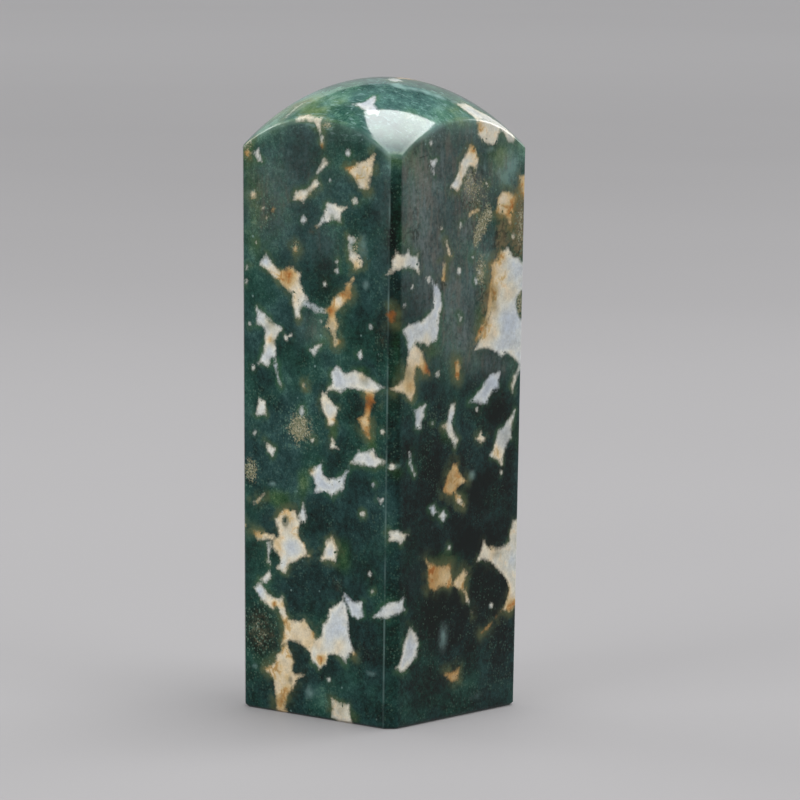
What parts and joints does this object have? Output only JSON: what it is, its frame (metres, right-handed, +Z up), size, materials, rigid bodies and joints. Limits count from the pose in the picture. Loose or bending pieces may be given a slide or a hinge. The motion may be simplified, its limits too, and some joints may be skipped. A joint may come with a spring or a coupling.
{
  "type": "seal stamp",
  "caption": "Square seal blank of polished green moss agate: a narrow upright column with a domed top to hold and a flat face underneath to carve and press into ink.",
  "frame": {"origin": "centre of the flat seal face that the stone stands on", "axes": "+Z up through the crown of the dome; X and Y square to the four side faces"},
  "size_m": [0.025, 0.025, 0.0763],
  "materials": {
    "stone": "polished"
  },
  "bodies": {
    "root": {"seal_stone": "stone"}
  },
  "joints": []
}
